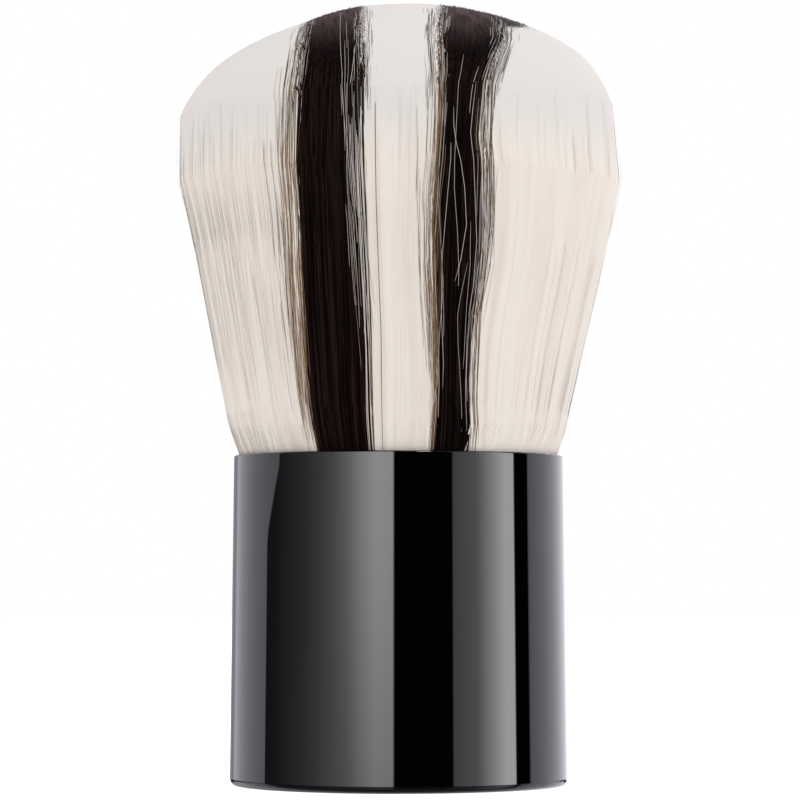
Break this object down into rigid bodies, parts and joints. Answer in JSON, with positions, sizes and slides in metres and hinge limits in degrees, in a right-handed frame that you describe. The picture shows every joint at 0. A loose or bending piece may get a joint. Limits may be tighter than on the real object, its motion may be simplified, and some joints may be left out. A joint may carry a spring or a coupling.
{
  "type": "kabuki brush",
  "caption": "Short cosmetic brush with a dense, flared and domed head of black and white striped hair in a black lacquered cylindrical handle.",
  "frame": {"origin": "centre of the base, where the handle stands", "axes": "+Z along the handle towards the hair tips, -Y to the front, from which the stripes are seen side by side, and +X to the right of that view"},
  "size_m": [0.0436, 0.0436, 0.0774],
  "materials": {
    "black_lacquer": "gloss",
    "ballast_steel": "satin",
    "black_plastic": "matte",
    "cup_aluminium": "satin",
    "resin": "gloss",
    "thread": "matte",
    "white_hair": "soft",
    "black_hair": "soft"
  },
  "bodies": {
    "root": {"handle_shell": "black_lacquer", "ballast_disc": "ballast_steel", "insert_collar": "black_plastic", "hair_cup": "cup_aluminium", "resin_plug": "resin", "binding_thread": "thread", "white_hair_left": "white_hair", "black_hair_left": "black_hair", "white_hair_centre": "white_hair", "black_hair_right": "black_hair", "white_hair_right": "white_hair"}
  },
  "joints": []
}
